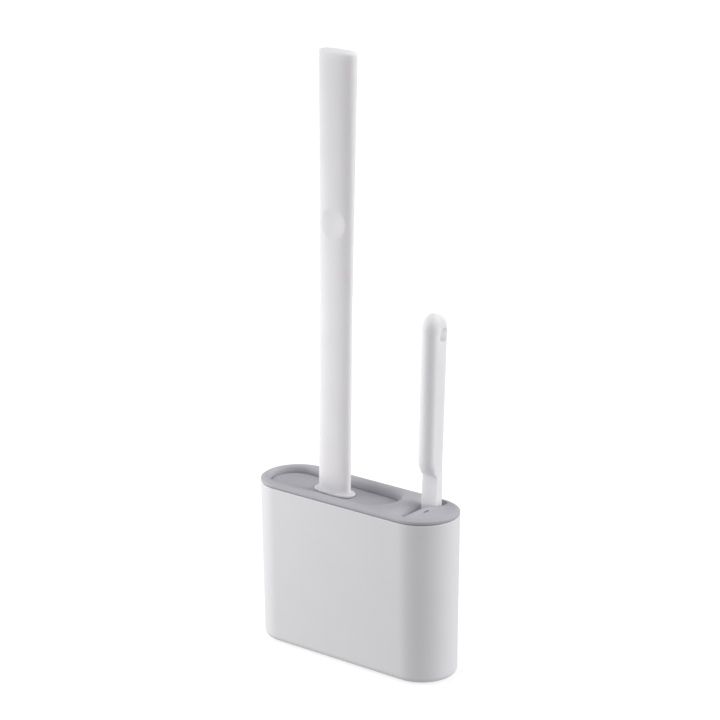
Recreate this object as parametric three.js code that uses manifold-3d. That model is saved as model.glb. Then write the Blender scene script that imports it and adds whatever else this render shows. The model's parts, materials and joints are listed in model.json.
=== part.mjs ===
// Two-in-one toilet brush set: a slim free-standing holder with a lift-off cover, a long toilet
// brush and a small crevice brush. Millimetres, +Z up. The origin is the middle of the holder's
// base on the floor, +X runs along the holder toward the small brush and -Y is the front.

import * as THREE from 'three';
import { mergeVertices } from 'three/addons/utils/BufferGeometryUtils.js';
import Module from 'manifold-3d';

const wasm = await Module();
wasm.setup();

// ---- Driving dimensions ----------------------------------------------------------------------

const HOLDER_LENGTH = 165;
const HOLDER_DEPTH = 52;
const RIM_HEIGHT = 120; // top face of the cover
const DRAFT = 0.0135; // sideways growth of the wall per millimetre of height

const ROUND_STEPS = 10; // half the number of chords in a semicircle
const FINE_STEPS = 4; // rings in a small rounding
const CORNER_STEPS = 5; // chords in an extruded outline's round corner
const EDGE_STEPS = 2; // chords across an extruded body's rounded edge
const BALL_STEPS = 48; // facets round the ball that presses the thumb dimple
const SAME_POINT = 1e-4; // vertices closer than this are one vertex
const CUT = 1; // how far a cutting body reaches past the face that it opens
const FIT = 0.3; // clearance between joined pieces

// Holder shell
const PAD_STAND = 0.7; // the pads hold the shell this far off the floor
const PAD_RADIUS = 5;
const PAD_X = 56;
const PAD_Y = 9;
const FOOT_RECESS = 1; // depth of the hollow under the base
const FOOT_RIM = 4.5; // width of the rim that is left round that hollow
const BASE_ROUND = 4.4;
const BASE_THICKNESS = 2.6;
const WALL = 2;
const SHELL_TOP = 115.7;
const DIVIDER_X = 42.6;
const DIVIDER_THICKNESS = 1.8;
const DIVIDER_TOP = 84;

// Cover
const SEAM = 0.3; // gap between the shell's edge and the cover's rim
const RIM_ROUND = 0.8;
const SKIRT_BOTTOM = 104;
const SKIRT_WALL = 1.8;
const SKIRT_GAP = 0.35;
const COLLAR_WALL = 1.6;
const LIP = 1.4; // flat width of the rim outside the dish

// Dish for the long brush's lid
const LID_LENGTH = 108;
const LID_WIDTH = 34;
const LID_X = -22;
const LID_THICKNESS = 3;
const LID_EDGE = 0.8;
const LID_DROP = 6.1; // from the rim down to the lid's top face
const LID_GAP = 0.8;
const DISH_FLOOR = 109.3;
const DISH_FLOOR_THICKNESS = 1.8;
const DISH_RIGHT = 37.5; // where the dish's rounding meets the bridge
const MOUTH_LENGTH = 102;
const MOUTH_WIDTH = 28;

// Long brush
const LONG_LEAN = 1.15; // degrees, toward +X at the top
const GRIP_TOP = 312.6; // above the lid's top face
const STEM_LENGTH = 26;
const STEM = { length: 21, width: 7.6 };
const GRIP_LOW = { length: 26, width: 9 };
const GRIP_HIGH = { length: 30, width: 13 };
const FOOT = { length: 32.4, width: 15.2 };
const FOOT_HEIGHT = 2.2;
const FOOT_FILLET = 2.2;
const FLARE_START = 139;
const GRIP_ROUND = 1.6;
const DIMPLE_HEIGHT = 196;
const DIMPLE_RADIUS = 10;
const DIMPLE_DEPTH = 1.3;

// Long brush, below the lid
const SOCKET = { length: 30, width: 13 };
const SOCKET_BOTTOM = -30;
const BLADE = { width: 42, thickness: 3.4, bottom: -92, topRound: 4, bottomRound: 14 };
const HEAD = { width: 72, thickness: 9, top: -31, bottom: -102, topRound: 15, bottomRound: 30 };
const HEAD_EDGE = 2.4;
const SPIKE = { base: 1.9, tip: 0.9, length: 7.6, sunk: 0.6, sides: 6, pitch: 9, margin: 6, firstRow: 0.75 };
const EDGE_SPIKES = { count: 9, length: 6, spread: 150, straighten: 2 };

// Slot for the small brush
const BRIDGE_ROUND = 5;
const SLOT = { left: 49.4, right: 64.6, front: -22.5, back: 21.5, corner: 6 };
const SLOT_SLANT = 0.12; // the left side leans off square: this much to -X per millimetre of Y
const LEDGE = 1.2; // shelf that the small lid stands on, at the slot's right side and front
const LEDGE_DROP = 6.2;

// Small brush
const SMALL_LEAN = 2.3; // degrees, toward +X at the top
const SMALL_X = 55.5;
const SMALL_Y = 11;
const SMALL_WIDTH = 12;
const SMALL_NECK = 7.6;
const SMALL_STEP = 7.3; // the grip stands this far in front of the neck
const SMALL_SWELL = 1.2; // growth of the grip's depth toward its top
const SMALL_TOP = 134.5; // above the rim
const SMALL_STEP_HEIGHT = 21;
const SMALL_NOSE = 6.2; // depth of the grip's half-oval front
const NOSE_STEPS = 10;
const SMALL_EDGE = 1;
const SMALL_CHIN = 5; // length of the blends in the handle's side view
const HANG = { width: 6.6, height: 9.6 }; // hanging hole, an upright stadium
const HANG_DROP = 13.2; // hole's centre below the top
const HANG_SETBACK = 3.2; // hole's centre behind the middle of the grip
const SMALL_BOTTOM = -98; // below the rim
const SMALL_BLOCK_TOP = -52;
const SMALL_BLOCK_SETBACK = 1; // the bristle block's face lies this far behind the neck's
const SMALL_LID = { back: 12, drop: 0.2, leftDrop: 5.6, rampEnd: 10, rampDrop: 0.9 };
const TUFT = { base: 1.5, tip: 2, length: 17, sides: 8, depth: 3 };
const TUFT_GRID = { columns: 2, rows: 6, pitch: 4.6, below: 5, above: 3 };

// ---- Materials -------------------------------------------------------------------------------

const whitePlastic = () => new THREE.MeshStandardMaterial({ color: 0xe6e4ea, roughness: 0.45, metalness: 0 });
const greyPlastic = () => new THREE.MeshStandardMaterial({ color: 0xa9a8b0, roughness: 0.5, metalness: 0 });
const greyRubber = () => new THREE.MeshStandardMaterial({ color: 0x8f9097, roughness: 0.7, metalness: 0 });
const padRubber = () => new THREE.MeshStandardMaterial({ color: 0xb9b9bd, roughness: 0.8, metalness: 0 });
const bristleNylon = () => new THREE.MeshStandardMaterial({ color: 0xf2f1ee, roughness: 0.5, metalness: 0 });

// ---- Solids and booleans ---------------------------------------------------------------------

function toSolid(geometry) {
  const bare = geometry.clone();
  bare.deleteAttribute('normal');
  bare.deleteAttribute('uv');
  const merged = mergeVertices(bare, SAME_POINT);
  const vertProperties = new Float32Array(merged.attributes.position.array);
  const triVerts = new Uint32Array(merged.index.array);
  return new wasm.Manifold(new wasm.Mesh({ numProp: 3, vertProperties, triVerts }));
}

function toMesh(name, solid, material) {
  const { vertProperties, triVerts } = solid.getMesh();
  const geometry = new THREE.BufferGeometry();
  geometry.setAttribute('position', new THREE.BufferAttribute(vertProperties, 3));
  geometry.setIndex(new THREE.BufferAttribute(triVerts, 1));
  geometry.computeVertexNormals();
  const mesh = new THREE.Mesh(geometry, material);
  mesh.name = name;
  return mesh;
}

// A stadium along X: two straight sides and two semicircular ends.
function pillShape(length, width) {
  const radius = width / 2;
  const reach = length / 2 - radius;
  const quarter = Math.PI / 2;
  const shape = new THREE.Shape();
  shape.moveTo(-reach, -radius);
  shape.lineTo(reach, -radius);
  shape.absarc(reach, 0, radius, -quarter, quarter);
  shape.lineTo(-reach, radius);
  shape.absarc(-reach, 0, radius, quarter, 3 * quarter);
  return shape;
}

// An upright body whose outline is a stadium at every height.
// Each ring gives { z, length, width } and, off the middle, x.
function pillSolid(rings) {
  const base = rings[0];
  const steps = rings.length - 1;
  const settings = { depth: steps, steps, bevelEnabled: false, curveSegments: ROUND_STEPS };
  const geometry = new THREE.ExtrudeGeometry(pillShape(base.length, base.width), settings);
  const position = geometry.attributes.position;
  const baseReach = (base.length - base.width) / 2;
  for (let i = 0; i < position.count; i += 1) {
    const ring = rings[Math.round(position.getZ(i))];
    const reach = (ring.length - ring.width) / 2;
    const swell = ring.width / base.width;
    const side = Math.sign(position.getX(i));
    const beyond = position.getX(i) - side * baseReach;
    const x = (ring.x ?? 0) + side * reach + beyond * swell;
    position.setXYZ(i, x, position.getY(i) * swell, ring.z);
  }
  return toSolid(geometry);
}

const grown = (size, by) => ({ length: size.length + 2 * by, width: size.width + 2 * by });

// Rings of a rounded upper edge whose top face is at the given height.
function roundTop(top, round, size) {
  const half = round * (1 - Math.SQRT1_2);
  return [
    { z: top - round, ...size },
    { z: top - half, ...grown(size, -half) },
    { z: top, ...grown(size, -round) },
  ];
}

function boxSolid(low, high) {
  const size = high.map((value, axis) => value - low[axis]);
  const geometry = new THREE.BoxGeometry(...size);
  geometry.translate(...low.map((value, axis) => value + size[axis] / 2));
  return toSolid(geometry);
}

// Rectangle with round corners, for extruding.
function roundedShape(left, right, low, high, lowRound, highRound) {
  const quarter = Math.PI / 2;
  const shape = new THREE.Shape();
  shape.moveTo(left + lowRound, low);
  shape.lineTo(right - lowRound, low);
  shape.absarc(right - lowRound, low + lowRound, lowRound, -quarter, 0);
  shape.lineTo(right, high - highRound);
  shape.absarc(right - highRound, high - highRound, highRound, 0, quarter);
  shape.lineTo(left + highRound, high);
  shape.absarc(left + highRound, high - highRound, highRound, quarter, 2 * quarter);
  shape.lineTo(left, low + lowRound);
  shape.absarc(left + lowRound, low + lowRound, lowRound, 2 * quarter, 3 * quarter);
  return shape;
}

function extruded(shape, depth, edge = 0) {
  const settings = {
    depth: depth - 2 * edge,
    bevelEnabled: edge > 0,
    bevelThickness: edge,
    bevelSize: edge,
    bevelOffset: -edge,
    bevelSegments: EDGE_STEPS,
    curveSegments: CORNER_STEPS,
  };
  const geometry = new THREE.ExtrudeGeometry(shape, settings);
  geometry.translate(0, 0, edge);
  return geometry;
}

// ---- Holder ----------------------------------------------------------------------------------

const outerAt = (z) => grown({ length: HOLDER_LENGTH, width: HOLDER_DEPTH }, -DRAFT * (RIM_HEIGHT - z));
const innerAt = (z) => grown(outerAt(z), -WALL);

// Rings of a round bottom edge that turns into the drafted wall above it.
function roundBottom(low, round, sizeAt) {
  const rings = [];
  for (let step = 0; step < FINE_STEPS; step += 1) {
    const angle = (step / FINE_STEPS) * (Math.PI / 2);
    const z = low + round * (1 - Math.cos(angle));
    rings.push({ z, ...grown(sizeAt(z), -round * (1 - Math.sin(angle))) });
  }
  rings.push({ z: low + round, ...sizeAt(low + round) });
  return rings;
}

function holderShell() {
  const outerFoot = roundBottom(PAD_STAND, BASE_ROUND, outerAt);
  const outer = pillSolid([...outerFoot, { z: SHELL_TOP, ...outerAt(SHELL_TOP) }]);
  const floor = PAD_STAND + BASE_THICKNESS;
  const innerFoot = roundBottom(floor, BASE_ROUND - WALL, innerAt);
  const mouth = SHELL_TOP + CUT;
  const cavity = pillSolid([...innerFoot, { z: mouth, ...innerAt(mouth) }]);
  const foot = grown(outerAt(PAD_STAND), -BASE_ROUND - FOOT_RIM);
  const recess = pillSolid([
    { z: PAD_STAND - CUT, ...foot },
    { z: PAD_STAND + FOOT_RECESS, ...foot },
  ]);
  const web = boxSolid(
    [DIVIDER_X, -HOLDER_DEPTH / 2, floor],
    [DIVIDER_X + DIVIDER_THICKNESS, HOLDER_DEPTH / 2, DIVIDER_TOP],
  );
  const divider = web.intersect(outer);
  const solid = outer.subtract(cavity).subtract(recess).add(divider);
  return toMesh('holder_shell', solid, whitePlastic());
}

function antiSlipPads() {
  const height = PAD_STAND + FOOT_RECESS;
  return [[-1, -1], [1, -1], [1, 1], [-1, 1]].map(([sideX, sideY], index) => {
    const geometry = new THREE.CylinderGeometry(PAD_RADIUS, PAD_RADIUS, height, 2 * ROUND_STEPS);
    geometry.rotateX(Math.PI / 2);
    const pad = toMesh(`anti_slip_pad_${index + 1}`, toSolid(geometry), padRubber());
    pad.position.set(sideX * PAD_X, sideY * PAD_Y, height / 2);
    return pad;
  });
}

// ---- Cover -----------------------------------------------------------------------------------

// The dish is widest at the rim and rounds over into an upright wall that follows the lid.
function dishRings() {
  const low = { x: LID_X, ...grown({ length: LID_LENGTH, width: LID_WIDTH }, LID_GAP) };
  const rimLeft = -HOLDER_LENGTH / 2 + LIP;
  const high = {
    x: (rimLeft + DISH_RIGHT) / 2,
    length: DISH_RIGHT - rimLeft,
    width: HOLDER_DEPTH - 2 * LIP,
  };
  const rings = [{ z: DISH_FLOOR, ...low }];
  const steps = 2 * FINE_STEPS;
  for (let step = 0; step <= steps; step += 1) {
    const angle = (step / steps) * (Math.PI / 2);
    const share = 1 - Math.cos(angle);
    rings.push({
      z: RIM_HEIGHT - LID_DROP + LID_DROP * Math.sin(angle),
      x: THREE.MathUtils.lerp(low.x, high.x, share),
      length: THREE.MathUtils.lerp(low.length, high.length, share),
      width: THREE.MathUtils.lerp(low.width, high.width, share),
    });
  }
  rings.push({ z: RIM_HEIGHT + CUT, ...high });
  return rings;
}

// Turns the slot's left side off square, and fades that out toward its right side.
function slanted(geometry) {
  const position = geometry.attributes.position;
  for (let i = 0; i < position.count; i += 1) {
    const x = position.getX(i);
    const share = THREE.MathUtils.clamp((SLOT.right - x) / (SLOT.right - SLOT.left), 0, 1);
    position.setX(i, x - SLOT_SLANT * position.getY(i) * share);
  }
  return geometry;
}

// An upright body over the slot's plan, or over one like it.
function planBody({ left, right, front, back, corner }, low, high) {
  const plan = roundedShape(left, right, front, back, corner, corner);
  const geometry = extruded(plan, high - low);
  geometry.translate(0, 0, low);
  return toSolid(slanted(geometry));
}

const slotGrown = (by) => ({
  left: SLOT.left - by,
  right: SLOT.right + by,
  front: SLOT.front - by,
  back: SLOT.back + by,
  corner: SLOT.corner + by,
});

// Material to remove so that the bridge rounds down into the slot.
function bridgeRounding() {
  const centreX = SLOT.left - BRIDGE_ROUND;
  const centreZ = RIM_HEIGHT - BRIDGE_ROUND;
  const corner = new THREE.Shape();
  corner.moveTo(SLOT.left + CUT, centreZ);
  corner.lineTo(SLOT.left, centreZ);
  corner.absarc(centreX, centreZ, BRIDGE_ROUND, 0, Math.PI / 2);
  corner.lineTo(centreX, RIM_HEIGHT + CUT);
  corner.lineTo(SLOT.left + CUT, RIM_HEIGHT + CUT);
  const length = SLOT.back - SLOT.front;
  const geometry = extruded(corner, length);
  geometry.rotateX(Math.PI / 2);
  geometry.translate(0, SLOT.back, 0);
  return toSolid(slanted(geometry));
}

function topCover() {
  const rim = { length: HOLDER_LENGTH, width: HOLDER_DEPTH };
  const rimLow = SHELL_TOP + SEAM;
  const flange = pillSolid([{ z: rimLow, ...rim }, ...roundTop(RIM_HEIGHT, RIM_ROUND, rim)]);
  const skirtOuter = grown(innerAt(SKIRT_BOTTOM), -SKIRT_GAP);
  const skirtInner = grown(skirtOuter, -SKIRT_WALL);
  const skirt = pillSolid([{ z: SKIRT_BOTTOM, ...skirtOuter }, { z: rimLow, ...skirtOuter }]);
  const hollow = pillSolid([{ z: SKIRT_BOTTOM - CUT, ...skirtInner }, { z: rimLow, ...skirtInner }]);

  const mouth = { x: LID_X, length: MOUTH_LENGTH, width: MOUTH_WIDTH };
  const mouthCollar = { x: LID_X, ...grown(mouth, COLLAR_WALL) };
  const dishSide = { x: LID_X, ...grown({ length: LID_LENGTH, width: LID_WIDTH }, LID_GAP + COLLAR_WALL) };
  const dishBottom = DISH_FLOOR - DISH_FLOOR_THICKNESS;
  const bowl = pillSolid([{ z: dishBottom, ...dishSide }, { z: rimLow, ...dishSide }]);
  const collar = pillSolid([{ z: SKIRT_BOTTOM, ...mouthCollar }, { z: DISH_FLOOR, ...mouthCollar }]);
  const mouthCut = pillSolid([{ z: SKIRT_BOTTOM - CUT, ...mouth }, { z: DISH_FLOOR + CUT, ...mouth }]);

  const ledgeTop = RIM_HEIGHT - LEDGE_DROP;
  const chute = planBody(slotGrown(COLLAR_WALL), SKIRT_BOTTOM, rimLow).intersect(skirt);
  const slotTop = planBody(SLOT, ledgeTop, RIM_HEIGHT + CUT);
  const shelf = { right: SLOT.right - LEDGE, front: SLOT.front + LEDGE };
  const slotThrough = planBody({ ...SLOT, ...shelf }, SKIRT_BOTTOM - CUT, RIM_HEIGHT);

  const shell = skirt.subtract(hollow).add(flange);
  const walls = bowl.add(collar).add(chute);
  const solid = shell
    .add(walls)
    .subtract(pillSolid(dishRings()))
    .subtract(mouthCut)
    .subtract(slotTop)
    .subtract(slotThrough)
    .subtract(bridgeRounding());
  return toMesh('top_cover', solid, greyPlastic());
}

// ---- Long brush, in its own frame: origin at the middle of the lid's top face ------------------

function gripRings() {
  const rings = [
    { z: -STEM_LENGTH, ...STEM },
    { z: FIT, ...STEM },
    { z: FIT, ...FOOT },
    { z: FIT + FOOT_HEIGHT, ...FOOT },
  ];
  for (let step = 1; step <= FINE_STEPS; step += 1) {
    const angle = (step / FINE_STEPS) * (Math.PI / 2);
    const share = Math.sin(angle);
    rings.push({
      z: FIT + FOOT_HEIGHT + FOOT_FILLET * (1 - Math.cos(angle)),
      length: THREE.MathUtils.lerp(FOOT.length, GRIP_LOW.length, share),
      width: THREE.MathUtils.lerp(FOOT.width, GRIP_LOW.width, share),
    });
  }
  rings.push({ z: FLARE_START, ...GRIP_LOW }, ...roundTop(GRIP_TOP, GRIP_ROUND, GRIP_HIGH));
  return rings;
}

function longHandle() {
  const ballRadius = (DIMPLE_RADIUS ** 2 + DIMPLE_DEPTH ** 2) / (2 * DIMPLE_DEPTH);
  const share = (DIMPLE_HEIGHT - FLARE_START) / (GRIP_TOP - FLARE_START);
  const front = -THREE.MathUtils.lerp(GRIP_LOW.width, GRIP_HIGH.width, share) / 2;
  const ball = new THREE.SphereGeometry(ballRadius, BALL_STEPS, BALL_STEPS / 2);
  ball.rotateX(Math.PI / 2);
  ball.translate(0, front + DIMPLE_DEPTH - ballRadius, DIMPLE_HEIGHT);
  const solid = pillSolid(gripRings()).subtract(toSolid(ball));
  return toMesh('long_brush_handle', solid, whitePlastic());
}

function longLid() {
  const outline = { length: LID_LENGTH, width: LID_WIDTH };
  const solid = pillSolid([{ z: -LID_THICKNESS, ...outline }, ...roundTop(0, LID_EDGE, outline)]);
  const stemHole = grown(STEM, FIT);
  const hole = pillSolid([{ z: -LID_THICKNESS - CUT, ...stemHole }, { z: CUT, ...stemHole }]);
  return toMesh('long_brush_lid', solid.subtract(hole), greyPlastic());
}

function longSpine() {
  const top = -LID_THICKNESS - FIT;
  const socket = pillSolid([{ z: SOCKET_BOTTOM, ...SOCKET }, { z: top, ...SOCKET }]);
  const pocketSize = grown(STEM, FIT);
  const pocket = pillSolid([{ z: -STEM_LENGTH - FIT, ...pocketSize }, { z: top + CUT, ...pocketSize }]);
  const reach = BLADE.width / 2;
  const bladeTop = SOCKET_BOTTOM + CUT;
  const shape = roundedShape(-reach, reach, BLADE.bottom, bladeTop, BLADE.bottomRound, BLADE.topRound);
  const geometry = extruded(shape, BLADE.thickness);
  geometry.rotateX(Math.PI / 2);
  geometry.translate(0, BLADE.thickness / 2, 0);
  return toMesh('long_brush_spine', socket.subtract(pocket).add(toSolid(geometry)), whitePlastic());
}

const headShape = (inset) => roundedShape(
  -HEAD.width / 2 + inset,
  HEAD.width / 2 - inset,
  HEAD.bottom + inset,
  HEAD.top - inset,
  HEAD.bottomRound - inset,
  HEAD.topRound - inset,
);

// A spike that points along +Y, its root a little below the surface that it stands on.
function spike(length) {
  const geometry = new THREE.CylinderGeometry(SPIKE.tip, SPIKE.base, length + SPIKE.sunk, SPIKE.sides);
  geometry.translate(0, (length - SPIKE.sunk) / 2, 0);
  return geometry;
}

// Spikes in staggered rows over both faces, wherever the head's outline leaves a margin.
function faceSpikes() {
  const field = headShape(SPIKE.margin).getPoints(ROUND_STEPS);
  const rows = Math.floor((HEAD.top - HEAD.bottom) / SPIKE.pitch);
  const columns = Math.ceil(HEAD.width / SPIKE.pitch);
  const spikes = [];
  for (let row = 0; row < rows; row += 1) {
    for (let column = 0; column <= columns; column += 1) {
      const shift = row % 2 === 0 ? 0 : SPIKE.pitch / 2;
      const x = (column - columns / 2) * SPIKE.pitch + shift;
      const z = HEAD.bottom + SPIKE.pitch * (row + SPIKE.firstRow);
      if (!inside(field, x, z)) continue;
      for (const side of [-1, 1]) {
        const geometry = spike(SPIKE.length);
        geometry.rotateX(side > 0 ? 0 : Math.PI);
        geometry.translate(x, side * HEAD.thickness / 2, z);
        spikes.push(toSolid(geometry));
      }
    }
  }
  return spikes;
}

// Even-odd test of a point against a closed outline.
function inside(outline, x, y) {
  let within = false;
  outline.forEach((a, index) => {
    const b = outline[(index + 1) % outline.length];
    const crosses = a.y > y !== b.y > y;
    if (crosses && x < a.x + ((y - a.y) / (b.y - a.y)) * (b.x - a.x)) within = !within;
  });
  return within;
}

// Spikes that fan out of the head's lower edge.
function edgeSpikes() {
  const { count, length, spread, straighten } = EDGE_SPIKES;
  const centreZ = HEAD.bottom + HEAD.bottomRound;
  const reach = HEAD.width / 2 - HEAD.bottomRound;
  return Array.from({ length: count }, (_, index) => {
    const angle = THREE.MathUtils.degToRad((index / (count - 1) - 0.5) * spread);
    const geometry = spike(length);
    geometry.translate(0, HEAD.bottomRound, 0);
    geometry.rotateX(-Math.PI / 2);
    geometry.rotateY(-angle);
    const side = THREE.MathUtils.clamp(Math.sin(angle) * straighten, -1, 1);
    geometry.translate(side * reach, 0, centreZ);
    return toSolid(geometry);
  });
}

function longHead() {
  const pad = extruded(headShape(0), HEAD.thickness, HEAD_EDGE);
  pad.rotateX(Math.PI / 2);
  pad.translate(0, HEAD.thickness / 2, 0);
  const width = BLADE.width / 2 + FIT;
  const thickness = BLADE.thickness / 2 + FIT;
  const pocket = boxSolid([-width, -thickness, BLADE.bottom - FIT], [width, thickness, HEAD.top + CUT]);
  let solid = toSolid(pad);
  for (const part of [...faceSpikes(), ...edgeSpikes()]) solid = solid.add(part);
  return toMesh('long_brush_head', solid.subtract(pocket), greyRubber());
}

function longBrush() {
  const group = new THREE.Group();
  group.position.set(LID_X, 0, RIM_HEIGHT - LID_DROP);
  group.rotation.y = THREE.MathUtils.degToRad(LONG_LEAN);
  group.add(longHandle(), longLid(), longSpine(), longHead());
  return group;
}

// ---- Small brush, in its own frame: origin in its neck at rim height ---------------------------

const FRONT = -SMALL_NECK / 2 - SMALL_STEP;
const BACK = SMALL_NECK / 2;

// Side view, drawn with the handle's front on the left and its top upward.
function smallProfile() {
  const topFront = FRONT - SMALL_SWELL;
  const topRound = (BACK - topFront) / 2;
  const chin = SMALL_CHIN;
  const blockFront = -SMALL_NECK / 2 + SMALL_BLOCK_SETBACK;
  const shape = new THREE.Shape();
  shape.moveTo(blockFront, SMALL_BOTTOM + chin);
  shape.lineTo(blockFront, SMALL_BLOCK_TOP);
  shape.lineTo(-SMALL_NECK / 2, SMALL_BLOCK_TOP + chin);
  shape.lineTo(-SMALL_NECK / 2, SMALL_STEP_HEIGHT);
  shape.bezierCurveTo(
    -SMALL_NECK / 2, SMALL_STEP_HEIGHT + chin / 2,
    FRONT, SMALL_STEP_HEIGHT,
    FRONT, SMALL_STEP_HEIGHT + 2 * chin,
  );
  shape.lineTo(topFront, SMALL_TOP - topRound);
  shape.absarc((topFront + BACK) / 2, SMALL_TOP - topRound, topRound, Math.PI, 0, true);
  shape.lineTo(BACK, SMALL_BOTTOM + chin);
  shape.quadraticCurveTo(BACK, SMALL_BOTTOM, (blockFront + BACK) / 2, SMALL_BOTTOM);
  shape.quadraticCurveTo(blockFront, SMALL_BOTTOM, blockFront, SMALL_BOTTOM + chin);
  return shape;
}

// Places of the tufts on the bristle block's front face.
function tuftPlaces() {
  const { columns, rows, pitch, below, above } = TUFT_GRID;
  const places = [];
  const rowPitch = (SMALL_BLOCK_TOP - above - SMALL_BOTTOM - below) / rows;
  for (let row = 0; row < rows; row += 1) {
    for (let column = 0; column < columns; column += 1) {
      places.push({
        x: (column - (columns - 1) / 2) * pitch,
        z: SMALL_BOTTOM + below + rowPitch * (row + 0.5),
      });
    }
  }
  return places;
}

function hangingHole() {
  const depth = SMALL_WIDTH + 2 * CUT;
  const hole = extruded(pillShape(HANG.height, HANG.width), depth);
  hole.translate(0, 0, -depth / 2);
  hole.rotateY(-Math.PI / 2);
  hole.translate(0, (FRONT + BACK) / 2 + HANG_SETBACK, SMALL_TOP - HANG_DROP);
  return toSolid(hole);
}

// An upright body with a half-oval front that leans with the grip's swell. It rounds the grip's
// front, and the neck lies inside it.
function nose() {
  const half = SMALL_WIDTH / 2;
  const centre = FRONT + SMALL_NOSE;
  const outline = new THREE.Shape();
  outline.moveTo(half, BACK + CUT);
  outline.lineTo(-half, BACK + CUT);
  outline.lineTo(-half, centre);
  outline.absellipse(0, centre, half, SMALL_NOSE, Math.PI, 2 * Math.PI, false);
  const settings = { depth: SMALL_TOP - SMALL_BOTTOM, bevelEnabled: false, curveSegments: NOSE_STEPS };
  const geometry = new THREE.ExtrudeGeometry(outline, settings);
  geometry.translate(0, 0, SMALL_BOTTOM);
  const swell = SMALL_SWELL / (SMALL_TOP - SMALL_STEP_HEIGHT);
  const position = geometry.attributes.position;
  for (let i = 0; i < position.count; i += 1) {
    const forward = position.getY(i) <= centre ? swell * (position.getZ(i) - SMALL_STEP_HEIGHT) : 0;
    position.setY(i, position.getY(i) - forward);
  }
  return toSolid(geometry);
}

function smallHandle() {
  const geometry = extruded(smallProfile(), SMALL_WIDTH, SMALL_EDGE);
  geometry.translate(0, 0, -SMALL_WIDTH / 2);
  geometry.rotateX(Math.PI / 2);
  geometry.rotateZ(Math.PI / 2);
  let solid = toSolid(geometry).intersect(nose()).subtract(hangingHole());
  for (const { x, z } of tuftPlaces()) {
    const socket = new THREE.CylinderGeometry(TUFT.base + FIT, TUFT.base + FIT, 2 * TUFT.depth, TUFT.sides);
    socket.translate(x, -SMALL_NECK / 2 + SMALL_BLOCK_SETBACK, z);
    solid = solid.subtract(toSolid(socket));
  }
  return toMesh('small_brush_handle', solid, whitePlastic());
}

function smallTufts() {
  return tuftPlaces().map(({ x, z }, index) => {
    const length = TUFT.length + TUFT.depth - FIT;
    const geometry = new THREE.CylinderGeometry(TUFT.base, TUFT.tip, length, TUFT.sides);
    const root = -SMALL_NECK / 2 + SMALL_BLOCK_SETBACK + TUFT.depth - FIT;
    geometry.translate(0, root - length / 2, 0);
    const number = String(index + 1).padStart(2, '0');
    const tuft = toMesh(`small_brush_tuft_${number}`, toSolid(geometry), bristleNylon());
    tuft.position.set(x, 0, z);
    return tuft;
  });
}

// The lid lies level in the slot, in front of the leaning neck, so it is drawn in the holder's frame.
// It ramps down toward the bridge.
function smallLid() {
  const left = SLOT.left - CUT;
  const right = SLOT.right;
  const low = RIM_HEIGHT - LEDGE_DROP + FIT;
  const high = RIM_HEIGHT - SMALL_LID.drop;
  const { back, leftDrop, rampEnd, rampDrop } = SMALL_LID;
  const section = new THREE.Shape();
  section.moveTo(left, low);
  section.lineTo(right, low);
  section.lineTo(right, high);
  section.quadraticCurveTo(left + rampEnd, RIM_HEIGHT - rampDrop, left, RIM_HEIGHT - leftDrop);
  const geometry = extruded(section, back - SLOT.front);
  geometry.rotateX(Math.PI / 2);
  geometry.translate(0, back, 0);
  const plan = planBody(slotGrown(-FIT), low - CUT, high + CUT);
  const neckHalf = SMALL_WIDTH / 2 + 2 * FIT;
  const neckRoom = boxSolid(
    [SMALL_X - neckHalf - SMALL_WIDTH, SMALL_Y - SMALL_NECK / 2 - FIT, low - CUT],
    [SMALL_X + neckHalf, SMALL_Y + SMALL_NECK, high + CUT],
  );
  const solid = toSolid(slanted(geometry)).intersect(plan).subtract(neckRoom);
  return toMesh('small_brush_lid', solid, greyPlastic());
}

function smallBrush() {
  const group = new THREE.Group();
  group.position.set(SMALL_X, SMALL_Y, RIM_HEIGHT);
  group.rotation.y = THREE.MathUtils.degToRad(SMALL_LEAN);
  group.add(smallHandle(), ...smallTufts());
  return group;
}

const brushSet = new THREE.Group();
brushSet.add(holderShell(), ...antiSlipPads(), topCover(), longBrush(), smallBrush(), smallLid());

export default brushSet;
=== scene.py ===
"""Looks of a two-in-one toilet brush set: a slim holder with its cover, a long and a small brush.

Every piece is built in millimetres in the frame's own axes and turned into metres when its mesh is
made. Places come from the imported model; the sizes below are roundings, walls and fine detail, in
millimetres unless a comment says otherwise.
"""

import json
import math
import random

import bmesh
import bpy
from mathutils import Matrix, Vector


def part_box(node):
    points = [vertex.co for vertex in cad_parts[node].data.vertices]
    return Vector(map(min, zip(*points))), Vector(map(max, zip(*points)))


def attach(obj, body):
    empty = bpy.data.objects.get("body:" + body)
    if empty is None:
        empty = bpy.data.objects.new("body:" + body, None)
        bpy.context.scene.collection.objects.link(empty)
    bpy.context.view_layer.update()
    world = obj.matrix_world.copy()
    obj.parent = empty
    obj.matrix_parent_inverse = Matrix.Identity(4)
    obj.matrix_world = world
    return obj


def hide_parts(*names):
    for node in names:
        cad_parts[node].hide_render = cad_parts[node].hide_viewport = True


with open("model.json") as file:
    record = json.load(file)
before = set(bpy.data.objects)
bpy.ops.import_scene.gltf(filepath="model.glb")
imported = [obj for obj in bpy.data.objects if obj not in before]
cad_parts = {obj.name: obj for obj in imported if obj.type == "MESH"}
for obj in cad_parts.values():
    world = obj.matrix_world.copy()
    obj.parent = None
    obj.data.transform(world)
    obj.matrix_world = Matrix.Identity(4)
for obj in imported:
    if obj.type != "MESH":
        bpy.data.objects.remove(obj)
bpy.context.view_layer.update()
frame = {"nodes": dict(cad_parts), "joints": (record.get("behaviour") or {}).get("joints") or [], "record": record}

MM = 0.001

# ---- Fineness ----

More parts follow.
